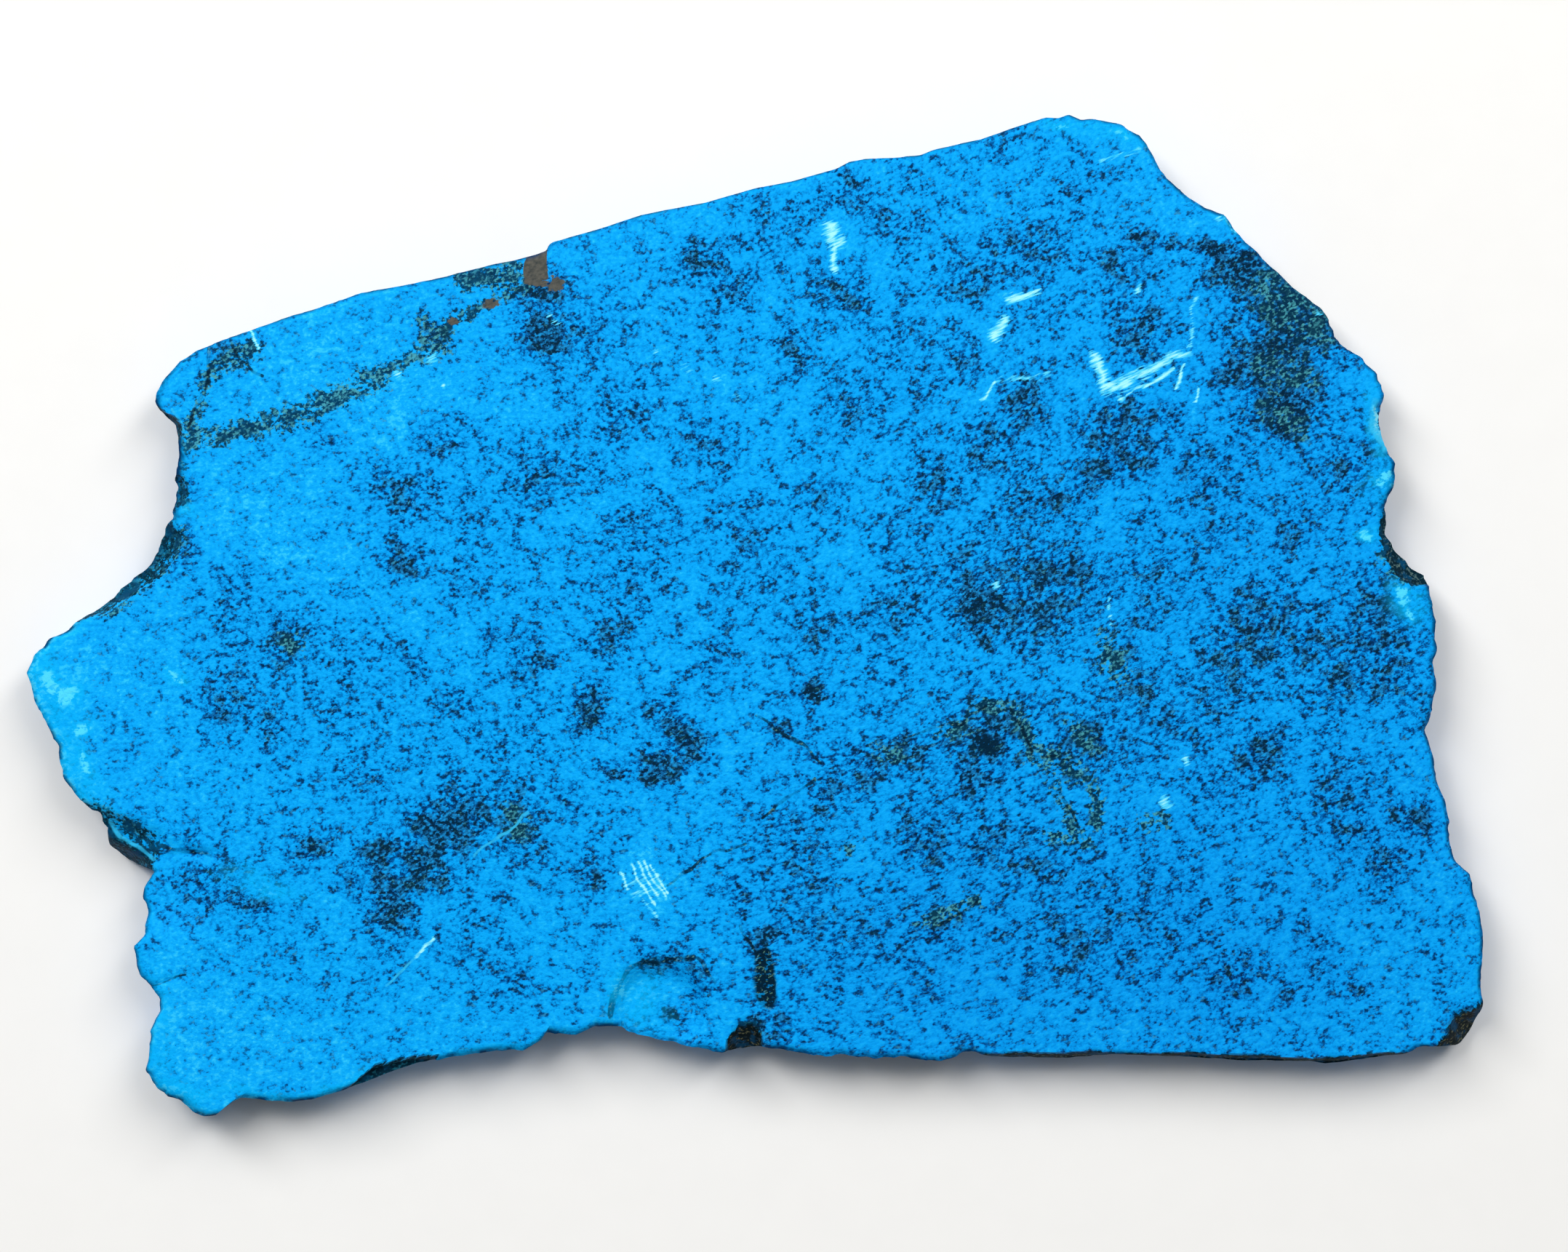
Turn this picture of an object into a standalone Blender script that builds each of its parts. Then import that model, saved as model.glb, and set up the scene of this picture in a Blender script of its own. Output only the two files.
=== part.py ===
"""Turquoise slab: one flat slice of stone with a broken rim, lying on its sawn underside.

Metres, +Z up. The origin is on the surface that the slab rests on, under the middle of its box.
+X runs along its length and +Y towards the long sloping edge. The outline, the chips and the facets
are given in pixels of the photograph, x right and y down, and PIXEL turns them into real sizes.
"""

from typing import NamedTuple

import bmesh
import bpy
import numpy as np

SLAB_LENGTH = 0.126
THICKNESS = 0.006
TOP_SWELL = 0.00014
SWELL_CELL = 0.024
UNDERCUT = 0.0008
LEAN_VARIES = 0.7
WALL_LUMPS = 0.0005
LUMP_CELL = 0.0052
LEDGE_DEPTH = 0.00028
LEDGE_CELL = 0.0026
LOWEST_BELLY = 0.88

OUTLINE_PIXELS = 2008
PHOTO_MIDDLE = (1038, 846)
HUB_SPOT = (1050, 870)
PIXEL = SLAB_LENGTH / OUTLINE_PIXELS

COLUMNS = 320
RIM_INSETS = (0, 7, 22, 44)
BAND_INSETS = (68, 98, 134)
FIELD_SHARES = (0.8, 0.62)
INNER_SHARES = (0.4, 0.2)
WALL_ROWS = (0.15, 0.34, 0.56, 0.8, 1.0)

LATTICE = 32
SWELL_SEED = 11
LUMP_SEED = 23
LEDGE_SEED = 37

STONE_COLOUR = (0.004, 0.305, 0.855, 1.0)
STONE_ROUGHNESS = 0.46

LEFT_TIP = [
    (34, 925), (44, 901), (55, 891), (67, 877), (91, 867), (104, 852), (127, 840), (154, 820),
    (161, 808), (186, 790), (200, 776), (211, 760), (225, 724), (232, 711), (240, 686), (237, 660),
    (243, 639), (242, 604), (236, 582),
]
KNOB = [
    (224, 572), (216, 562), (212, 551), (214, 539), (221, 526), (232, 511), (245, 497), (270, 481),
    (305, 467),
]
LONG_EDGE = [
    (343, 454), (381, 440), (440, 421), (496, 402), (552, 392), (606, 381), (652, 369), (677, 363),
    (705, 358), (738, 349), (751, 344), (754, 336), (760, 332), (820, 315), (882, 295), (915, 288),
    (969, 278), (1039, 258), (1087, 249), (1151, 231), (1168, 222), (1188, 218), (1230, 216),
    (1266, 212), (1290, 203), (1348, 191), (1394, 175), (1438, 160),
]
PEAK = [
    (1457, 161), (1470, 156), (1488, 164), (1501, 162), (1545, 170), (1567, 185), (1578, 198),
    (1596, 232), (1606, 245), (1636, 271), (1660, 286), (1684, 293), (1701, 318), (1738, 354),
    (1779, 395), (1814, 420), (1825, 432), (1838, 462), (1854, 480), (1871, 489),
]
RIGHT_EDGE = [
    (1884, 501), (1895, 513), (1906, 538), (1898, 570), (1898, 583), (1907, 615), (1921, 639),
    (1918, 667), (1906, 700), (1910, 734), (1925, 759), (1948, 782), (1961, 790), (1966, 801),
    (1973, 839), (1978, 854), (1975, 876), (1978, 891), (1975, 906), (1978, 948), (1970, 978),
    (1962, 1006), (1972, 1040), (1979, 1080), (1990, 1105), (1995, 1130), (1993, 1140),
    (1997, 1168), (2004, 1186), (2023, 1202), (2029, 1229), (2037, 1256), (2042, 1297),
    (2038, 1331), (2037, 1356), (2041, 1380),
]
LOWER_RIGHT_CORNER = [(2041, 1390), (2038, 1405), (2033, 1419), (2020, 1437), (2010, 1441)]
LOWER_EDGE = [
    (1959, 1439), (1949, 1441), (1931, 1452), (1893, 1456), (1826, 1465), (1804, 1461),
    (1706, 1460), (1633, 1455), (1535, 1450), (1507, 1454), (1469, 1457), (1364, 1455),
    (1340, 1448), (1322, 1450), (1306, 1458), (1285, 1460), (1239, 1454), (1202, 1458),
    (1156, 1450), (1135, 1454), (1078, 1445), (1051, 1442), (1007, 1446), (991, 1449), (960, 1442),
    (908, 1431), (865, 1421), (854, 1412), (818, 1412), (790, 1425), (750, 1421), (743, 1431),
    (719, 1445), (684, 1446), (626, 1454), (571, 1464), (544, 1473), (475, 1499), (426, 1513),
    (398, 1516), (351, 1512), (328, 1511),
]
FOOT = [
    (318, 1516), (294, 1535), (278, 1536), (265, 1531), (246, 1513), (228, 1508), (213, 1496),
    (198, 1474), (204, 1453), (205, 1419), (216, 1392), (217, 1371), (207, 1358), (191, 1342),
    (183, 1318), (182, 1302), (196, 1286), (200, 1258), (194, 1232), (197, 1219), (211, 1198),
]
SKIRT_EDGE = [
    (184, 1192), (165, 1187), (142, 1165), (144, 1139), (137, 1131), (138, 1122), (134, 1116),
]
UNDER_TIP = [
    (124, 1114), (105, 1096), (84, 1068), (78, 1028), (62, 994), (44, 960), (43, 950),
]
OUTLINE = (
    LEFT_TIP + KNOB + LONG_EDGE + PEAK + RIGHT_EDGE + LOWER_RIGHT_CORNER + LOWER_EDGE + FOOT
    + SKIRT_EDGE + UNDER_TIP
)


class Facet(NamedTuple):
    """A broken face that falls away from the top between an inner edge and the rim."""

    inner_edge: list
    steepness: float
    deepest: float


FACETS = {
    "skirt": Facet(
        [(117, 1097), (146, 1115), (194, 1132), (224, 1146), (223, 1165), (213, 1195)],
        1.35,
        0.0047,
    ),
    "lower right corner": Facet(
        [
            (2040, 1374), (2030, 1386), (2014, 1390), (1999, 1397), (1992, 1408), (1990, 1423),
            (1979, 1432), (1972, 1441),
        ],
        1.5,
        0.0042,
    ),
    "dark notch": Facet(
        [(996, 1446), (1003, 1425), (1015, 1408), (1030, 1405), (1044, 1410), (1049, 1441)],
        1.0,
        0.0024,
    ),
    "under the knob": Facet(
        [(216, 557), (226, 566), (244, 575), (252, 586), (251, 599), (244, 612)],
        1.6,
        0.0022,
    ),
    "crumbled bay": Facet(
        [
            (243, 625), (252, 650), (256, 680), (246, 712), (238, 745), (226, 772), (205, 795),
            (178, 815), (150, 838), (122, 850), (106, 856),
        ],
        0.9,
        0.0013,
    ),
    "right sliver": Facet(
        [(1904, 540), (1888, 562), (1890, 590), (1900, 612), (1906, 628)],
        0.8,
        0.0011,
    ),
    "brown break": Facet(
        [(1909, 745), (1914, 762), (1925, 775), (1938, 785), (1958, 793)],
        1.2,
        0.0014,
    ),
    "lower edge band": Facet(
        [
            (1352, 1449), (1400, 1447), (1500, 1445), (1633, 1446), (1740, 1451), (1826, 1455),
            (1893, 1447), (1936, 1447),
        ],
        2.2,
        0.0014,
    ),
    "lower left flake": Facet(
        [(606, 1452), (571, 1456), (544, 1462), (518, 1470), (490, 1489)],
        1.8,
        0.0012,
    ),
}


class Wear(NamedTuple):
    """How far in from the rim, in pixels, and how deep the edge is rounded over at one spot."""

    spot: tuple
    width: float
    drop: float


RIM_WEAR = [
    Wear((1060, 255), 5, 0.00022),
    Wear((745, 346), 6, 0.0003),
    Wear((250, 495), 10, 0.0004),
    Wear((240, 640), 12, 0.0005),
    Wear((40, 925), 40, 0.00055),
    Wear((84, 1068), 30, 0.0005),
    Wear((200, 1240), 10, 0.0004),
    Wear((205, 1440), 14, 0.0006),
    Wear((330, 1511), 16, 0.0005),
    Wear((620, 1455), 14, 0.0005),
    Wear((900, 1431), 10, 0.0004),
    Wear((1200, 1458), 7, 0.00035),
    Wear((1800, 1461), 6, 0.0004),
    Wear((2040, 1300), 10, 0.00045),
    Wear((1975, 900), 9, 0.0004),
    Wear((1905, 530), 8, 0.0004),
    Wear((1760, 380), 7, 0.00035),
    Wear((1500, 162), 8, 0.0004),
    Wear((1049, 256), 5, 0.00022),
]

SHELL_SPOT = (906, 1388)
SHELL_REACH = (74, 76)
SHELL_DEPTH = 0.0013
SHELL_WALL = 0.42

SUNK_LEFT_DEPTH = 0.00035
SUNK_LEFT_SIDES = (196, 300)
SUNK_LEFT_FISSURE = 1168
SUNK_LEFT_END = 1300
SUNK_LEFT_FADE = (34, 7, 60)


def placed(pixels):
    """Photograph coordinates in metres about the middle of the slab, with y up."""
    return (np.asarray(pixels, float) - PHOTO_MIDDLE) * (PIXEL, -PIXEL)


HUB = placed(HUB_SPOT)


def bearing(points):
    """The direction of each point from the hub, which is 0 at -Y and jumps only at +Y."""
    away = points - HUB
    return np.arctan2(away[..., 0], -away[..., 1])


def from_hub(points):
    away = points - HUB
    return np.hypot(away[..., 0], away[..., 1])


def eased(share):
    share = np.clip(share, 0.0, 1.0)
    return share * share * (3.0 - 2.0 * share)


def stone_noise(points, cell, seed):
    """Smooth random values from -1 to 1 in space, the same on each run."""
    table = np.random.default_rng(seed).uniform(-1.0, 1.0, (LATTICE, LATTICE, LATTICE))
    scaled = points / cell
    low = np.floor(scaled).astype(int)
    blend = eased(scaled - low)
    total = np.zeros(points.shape[:-1])
    for corner in np.ndindex(2, 2, 2):
        share = np.prod(np.where(corner, blend, 1.0 - blend), axis=-1)
        column, row, layer = np.moveaxis((low + corner) % LATTICE, -1, 0)
        total += share * table[column, row, layer]
    return total


def rim_points():
    """The outline at COLUMNS equal steps along it, beginning at the left tip."""
    corners = placed(OUTLINE + OUTLINE[:1])
    travelled = np.concatenate([[0.0], np.cumsum(np.hypot(*np.diff(corners, axis=0).T))])
    steps = np.arange(COLUMNS) * travelled[-1] / COLUMNS
    return np.stack([np.interp(steps, travelled, axis) for axis in corners.T], axis=-1)


def facet_drop(points):
    """How far the broken faces lower each point: the distance past the inner edge times the steepness."""
    drop = np.zeros(len(points))
    turn = bearing(points)
    for facet in FACETS.values():
        edge = placed(facet.inner_edge)
        edge = edge[np.argsort(bearing(edge))]
        start = np.interp(turn, bearing(edge), from_hub(edge), left=np.inf, right=np.inf)
        past = np.maximum(from_hub(points) - start, 0.0)
        drop = np.maximum(drop, np.minimum(past * facet.steepness, facet.deepest))
    return drop


def wear_drop(points, inset):
    """The rounding over of the rim, deepest at the rim itself."""
    stations = sorted(RIM_WEAR, key=lambda wear: bearing(placed(wear.spot)))
    turns = [bearing(placed(wear.spot)) for wear in stations]
    width = np.interp(bearing(points), turns, [wear.width * PIXEL for wear in stations])
    deepest = np.interp(bearing(points), turns, [wear.drop for wear in stations])
    return deepest * np.clip(1.0 - inset / width, 0.0, 1.0) ** 2


def shell_drop(points):
    """The shell-shaped chip: a steep curved wall and a hollow floor that opens at the rim."""
    away = (points - placed(SHELL_SPOT)) / (np.array(SHELL_REACH) * PIXEL)
    inside = 1.0 - np.hypot(away[:, 0], away[:, 1])
    return SHELL_DEPTH * eased(inside / SHELL_WALL)


def sunk_left_drop(points):
    """The low block under the fissure at the lower left."""
    right, fissure, end = placed([(SUNK_LEFT_SIDES[1], 0), (0, SUNK_LEFT_FISSURE), (0, SUNK_LEFT_END)])
    fades = np.array(SUNK_LEFT_FADE) * PIXEL
    across = eased((right[0] - points[:, 0]) / fades[0])
    below = eased((fissure[1] - points[:, 1]) / fades[1])
    above_end = eased((points[:, 1] - end[1]) / fades[2])
    return SUNK_LEFT_DEPTH * across * below * above_end


def top_height(points, inset):
    """The height of the upper face: a low swell less every chip and broken face."""
    flat = np.column_stack([points, np.zeros(len(points))])
    swell = TOP_SWELL * stone_noise(flat, SWELL_CELL, SWELL_SEED)
    drop = np.maximum.reduce([facet_drop(points), wear_drop(points, inset), shell_drop(points)])
    return THICKNESS - TOP_SWELL + swell - drop - sunk_left_drop(points)


def top_rings(rim):
    """Rings of the upper face from the rim inwards, with half as many columns after each group."""
    reach = from_hub(rim)
    rings = []
    groups = (
        (1, [1.0 - inset * PIXEL / reach for inset in RIM_INSETS]),
        (2, [1.0 - inset * PIXEL / reach for inset in BAND_INSETS]),
        (4, [np.full(COLUMNS, share) for share in FIELD_SHARES]),
        (8, [np.full(COLUMNS, share) for share in INNER_SHARES]),
    )
    for every, shares in groups:
        for share in shares:
            points = (HUB + (rim - HUB) * share[:, None])[::every]
            inset = (reach * (1.0 - share))[::every]
            rings.append(np.column_stack([points, top_height(points, inset)]))
    return rings


def wall_rings(rim):
    """Rings down the broken side, which leans in under the top rim in lumps and ledges."""
    outward = (rim[:, :2] - HUB) / from_hub(rim[:, :2])[:, None]
    rings = []
    for down in WALL_ROWS:
        height = rim[:, 2] * (1.0 - down)
        spots = np.column_stack([rim[:, :2], height])
        lumps = stone_noise(spots, LUMP_CELL, LUMP_SEED)
        ledges = np.sign(stone_noise(spots, LEDGE_CELL, LEDGE_SEED))
        lean = UNDERCUT * eased(down) * (1.0 + LEAN_VARIES * lumps)
        hollow = WALL_LUMPS * (1.0 + lumps) + LEDGE_DEPTH * (1.0 + ledges)
        belly = np.sin(np.pi * min(down, LOWEST_BELLY)) * hollow
        inset = (lean + belly) * rim[:, 2] / THICKNESS
        rings.append(np.column_stack([rim[:, :2] - outward * inset[:, None], height]))
    return rings


def slab_mesh():
    """One closed skin: the upper face, the wall and the flat underside."""
    top = top_rings(rim_points())
    mesh = bmesh.new()
    rings = [[mesh.verts.new(point) for point in ring] for ring in reversed(top)]
    rings += [[mesh.verts.new(point) for point in ring] for ring in wall_rings(top[0])]
    peak = top_height(HUB[None], np.full(1, THICKNESS))[0]
    hub = mesh.verts.new((*HUB, peak))
    first = rings[0]
    for i, corner in enumerate(first):
        mesh.faces.new((hub, corner, first[(i + 1) % len(first)]))
    for inner, outer in zip(rings, rings[1:]):
        join_rings(mesh, inner, outer)
    mesh.faces.new(rings[-1])
    bmesh.ops.recalc_face_normals(mesh, faces=mesh.faces)
    centre_box(mesh)
    data = bpy.data.meshes.new("slab")
    mesh.to_mesh(data)
    mesh.free()
    return data


def join_rings(mesh, inner, outer):
    """Faces between two rings, where the outer has as many corners as the inner or twice as many."""
    step = len(outer) // len(inner)
    for i, start in enumerate(inner):
        end = inner[(i + 1) % len(inner)]
        run = [outer[(i * step + k) % len(outer)] for k in range(step + 1)]
        if step == 1:
            mesh.faces.new((start, run[0], run[1], end))
        else:
            mesh.faces.new((start, run[0], run[1]))
            mesh.faces.new((start, run[1], end))
            mesh.faces.new((end, run[1], run[2]))


def centre_box(mesh):
    """Stretches the skin to SLAB_LENGTH and moves it so that its box stands over the origin."""
    spots = np.array([corner.co for corner in mesh.verts])
    low, high = spots.min(axis=0), spots.max(axis=0)
    middle = (low + high) / 2
    scale = SLAB_LENGTH / (high - low)[0]
    for corner in mesh.verts:
        corner.co.x = (corner.co.x - middle[0]) * scale
        corner.co.y = (corner.co.y - middle[1]) * scale


def stone_material():
    material = bpy.data.materials.new("turquoise")
    material.use_nodes = True
    surface = material.node_tree.nodes["Principled BSDF"]
    surface.inputs["Base Color"].default_value = STONE_COLOUR
    surface.inputs["Roughness"].default_value = STONE_ROUGHNESS
    surface.inputs["Metallic"].default_value = 0.0
    return material


def main():
    for obj in list(bpy.data.objects):
        bpy.data.objects.remove(obj)
    collection = bpy.data.collections.new("turquoise slab")
    bpy.context.scene.collection.children.link(collection)
    data = slab_mesh()
    data.materials.append(stone_material())
    collection.objects.link(bpy.data.objects.new("slab", data))


main()
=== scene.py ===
"""Looks of the turquoise slab: its broken surface and markings, the floor, the light and the camera.

Places on the slab are pixels of the photograph, x right and y down, which placed turns into metres
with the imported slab's own box.
"""

import math

import bpy
import numpy as np
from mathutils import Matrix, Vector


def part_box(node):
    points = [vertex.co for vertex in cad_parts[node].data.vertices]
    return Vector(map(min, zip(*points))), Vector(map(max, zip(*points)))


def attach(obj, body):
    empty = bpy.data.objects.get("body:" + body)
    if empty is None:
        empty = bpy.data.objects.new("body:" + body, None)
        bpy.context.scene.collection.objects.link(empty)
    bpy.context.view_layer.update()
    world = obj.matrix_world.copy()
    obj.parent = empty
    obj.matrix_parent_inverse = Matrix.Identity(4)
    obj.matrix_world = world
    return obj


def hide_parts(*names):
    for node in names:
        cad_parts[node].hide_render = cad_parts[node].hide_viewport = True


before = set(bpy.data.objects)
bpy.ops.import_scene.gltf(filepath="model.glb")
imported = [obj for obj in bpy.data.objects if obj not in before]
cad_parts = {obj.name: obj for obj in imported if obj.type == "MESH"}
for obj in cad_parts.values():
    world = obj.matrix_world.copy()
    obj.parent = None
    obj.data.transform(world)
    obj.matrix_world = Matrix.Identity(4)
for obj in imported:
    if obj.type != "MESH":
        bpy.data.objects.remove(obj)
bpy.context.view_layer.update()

LEFTMOST, RIGHTMOST = 34, 2042
TOPMOST, LOWEST = 156, 1536
HUB_SPOT = (1050, 870)
PHOTO_SIZE = (2156, 1721)

slab_low, slab_high = (np.array(corner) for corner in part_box("slab"))
THICKNESS = slab_high[2] - slab_low[2]
PIXEL = (slab_high[0] - slab_low[0]) / (RIGHTMOST - LEFTMOST)
MIDDLE_SPOT = np.array([(LEFTMOST + RIGHTMOST) / 2, (TOPMOST + LOWEST) / 2])
MIDDLE = (slab_low[:2] + slab_high[:2]) / 2

LATTICE = 32

OUTLINE = [
    (34, 925), (44, 901), (55, 891), (67, 877), (91, 867), (104, 852), (127, 840), (154, 820),
    (161, 808), (186, 790), (200, 776), (211, 760), (225, 724), (232, 711), (240, 686), (237, 660),
    (243, 639), (242, 604), (236, 582), (224, 572), (216, 562), (212, 551), (214, 539), (221, 526),
    (232, 511), (245, 497), (270, 481), (305, 467), (343, 454), (381, 440), (440, 421), (496, 402),
    (552, 392), (606, 381), (652, 369), (677, 363), (705, 358), (738, 349), (751, 344), (754, 336),
    (760, 332), (820, 315), (882, 295), (915, 288), (969, 278), (1039, 258), (1087, 249), (1151, 231),
    (1168, 222), (1188, 218), (1230, 216), (1266, 212), (1290, 203), (1348, 191), (1394, 175),
    (1438, 160), (1457, 161), (1470, 156), (1488, 164), (1501, 162), (1545, 170), (1567, 185),
    (1578, 198), (1596, 232), (1606, 245), (1636, 271), (1660, 286), (1684, 293), (1701, 318),
    (1738, 354), (1779, 395), (1814, 420), (1825, 432), (1838, 462), (1854, 480), (1871, 489),
    (1884, 501), (1895, 513), (1906, 538), (1898, 570), (1898, 583), (1907, 615), (1921, 639),
    (1918, 667), (1906, 700), (1910, 734), (1925, 759), (1948, 782), (1961, 790), (1966, 801),
    (1973, 839), (1978, 854), (1975, 876), (1978, 891), (1975, 906), (1978, 948), (1970, 978),
    (1962, 1006), (1972, 1040), (1979, 1080), (1990, 1105), (1995, 1130), (1993, 1140), (1997, 1168),
    (2004, 1186), (2023, 1202), (2029, 1229), (2037, 1256), (2042, 1297), (2038, 1331), (2037, 1356),
    (2041, 1380), (2041, 1390), (2038, 1405), (2033, 1419), (2020, 1437), (2010, 1441), (1959, 1439),
    (1949, 1441), (1931, 1452), (1893, 1456), (1826, 1465), (1804, 1461), (1706, 1460), (1633, 1455),
    (1535, 1450), (1507, 1454), (1469, 1457), (1364, 1455), (1340, 1448), (1322, 1450), (1306, 1458),
    (1285, 1460), (1239, 1454), (1202, 1458), (1156, 1450), (1135, 1454), (1078, 1445), (1051, 1442),
    (1007, 1446), (991, 1449), (960, 1442), (908, 1431), (865, 1421), (854, 1412), (818, 1412),
    (790, 1425), (750, 1421), (743, 1431), (719, 1445), (684, 1446), (626, 1454), (571, 1464),
    (544, 1473), (475, 1499), (426, 1513), (398, 1516), (351, 1512), (328, 1511), (318, 1516),
    (294, 1535), (278, 1536), (265, 1531), (246, 1513), (228, 1508), (213, 1496), (198, 1474),
    (204, 1453), (205, 1419), (216, 1392), (217, 1371), (207, 1358), (191, 1342), (183, 1318),
    (182, 1302), (196, 1286), (200, 1258), (194, 1232), (197, 1219), (211, 1198), (184, 1192),
    (165, 1187), (142, 1165), (144, 1139), (137, 1131), (138, 1122), (134, 1116), (124, 1114),
    (105, 1096), (84, 1068), (78, 1028), (62, 994), (44, 960), (43, 950),
]

# Each broken face: its inner edge, its steepness, its greatest depth and how dark its stone is.
FACETS = {
    "skirt slope": (
        [(117, 1097), (146, 1112), (186, 1126), (226, 1146), (224, 1165), (214, 1195)], 0.5, 0.0012, 0.5,
    ),
    "skirt": (
        [(128, 1112), (147, 1130), (163, 1152), (184, 1163), (204, 1178), (211, 1196)], 1.9, 0.0047, 0.78,
    ),
    "lower right corner": (
        [(2040, 1374), (2030, 1386), (2014, 1390), (1999, 1397), (1992, 1408), (1990, 1423),
         (1979, 1432), (1972, 1441)], 1.5, 0.0042, 1.0,
    ),
    "dark notch": (
        [(996, 1446), (1003, 1425), (1015, 1408), (1030, 1405), (1044, 1410), (1049, 1441)],
        1.0, 0.0024, 1.0,
    ),
    "under the knob": (
        [(216, 557), (226, 566), (244, 575), (252, 586), (251, 599), (244, 612)], 1.6, 0.0022, 0.8,
    ),
    "bay nick": ([(240, 648), (256, 660), (262, 680), (252, 696), (239, 704)], 0.9, 0.0009, 0.6),
    "crumbled bay": (
        [(236, 716), (252, 738), (242, 772), (214, 800), (180, 820), (150, 842), (122, 850),
         (106, 856)], 0.9, 0.0013, 0.6,
    ),
    "right sliver": (
        [(1904, 540), (1888, 562), (1890, 590), (1900, 612), (1906, 628)], 0.8, 0.0011, 0.35,
    ),
    "brown break": (
        [(1903, 698), (1894, 728), (1902, 764), (1917, 792), (1940, 806), (1966, 806)], 0.8, 0.0014, 0.88,
    ),
    "lower edge band": (
        [(1352, 1449), (1400, 1447), (1500, 1445), (1633, 1446), (1740, 1451), (1826, 1455),
         (1893, 1447), (1936, 1447)], 2.2, 0.0014, 0.9,
    ),
    "lower left flake": (
        [(606, 1450), (571, 1452), (544, 1457), (514, 1466), (486, 1489)], 1.8, 0.0012, 0.8,
    ),
}

# Spots on the rim: the width of the rounding over in pixels, its drop, how ragged the rim is there,
# and the width of the painted shade line along it, narrowest on the upper edge, which faces the lamps.
ROUNDING, DROP, RAGGED, PAINTED_SHADE_LINE = 1, 2, 3, 4
RIM_STATIONS = [
    ((1060, 255), 5, 0.00022, 0.06, 3), ((745, 346), 6, 0.0003, 0.1, 4),
    ((250, 495), 10, 0.0004, 0.4, 4), ((226, 560), 11, 0.0004, 0.6, 10),
    ((240, 640), 12, 0.0005, 1.3, 13), ((110, 848), 20, 0.0005, 1.2, 10),
    ((40, 925), 40, 0.00055, 0.5, 4), ((84, 1068), 30, 0.0005, 0.7, 6),
    ((142, 1160), 14, 0.0003, 0.25, 4), ((200, 1240), 10, 0.0004, 1.0, 5),
    ((205, 1440), 14, 0.0006, 0.8, 4), ((330, 1511), 16, 0.0005, 0.6, 9),
    ((620, 1455), 14, 0.0005, 0.6, 11), ((900, 1431), 10, 0.0004, 0.7, 6),
    ((1200, 1458), 7, 0.00035, 0.7, 9), ((1800, 1461), 6, 0.0004, 0.4, 9),
    ((2040, 1300), 10, 0.00045, 0.6, 6), ((1975, 900), 9, 0.0004, 0.9, 6),
    ((1905, 700), 9, 0.0004, 0.9, 9), ((1905, 530), 8, 0.0004, 1.0, 4),
    ((1760, 380), 7, 0.00035, 0.6, 7), ((1500, 162), 8, 0.0004, 0.4, 4),
    ((1049, 256), 5, 0.00022, 0.06, 3),
]

SHELL_SPOT = (906, 1388)
SHELL_REACH = (74, 76)
SHELL_DEPTH = 0.0009
SHELL_WALL = 0.42
SHELL_RIPPLE = 0.05
SHELL_RIPPLES = 42.0

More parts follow.
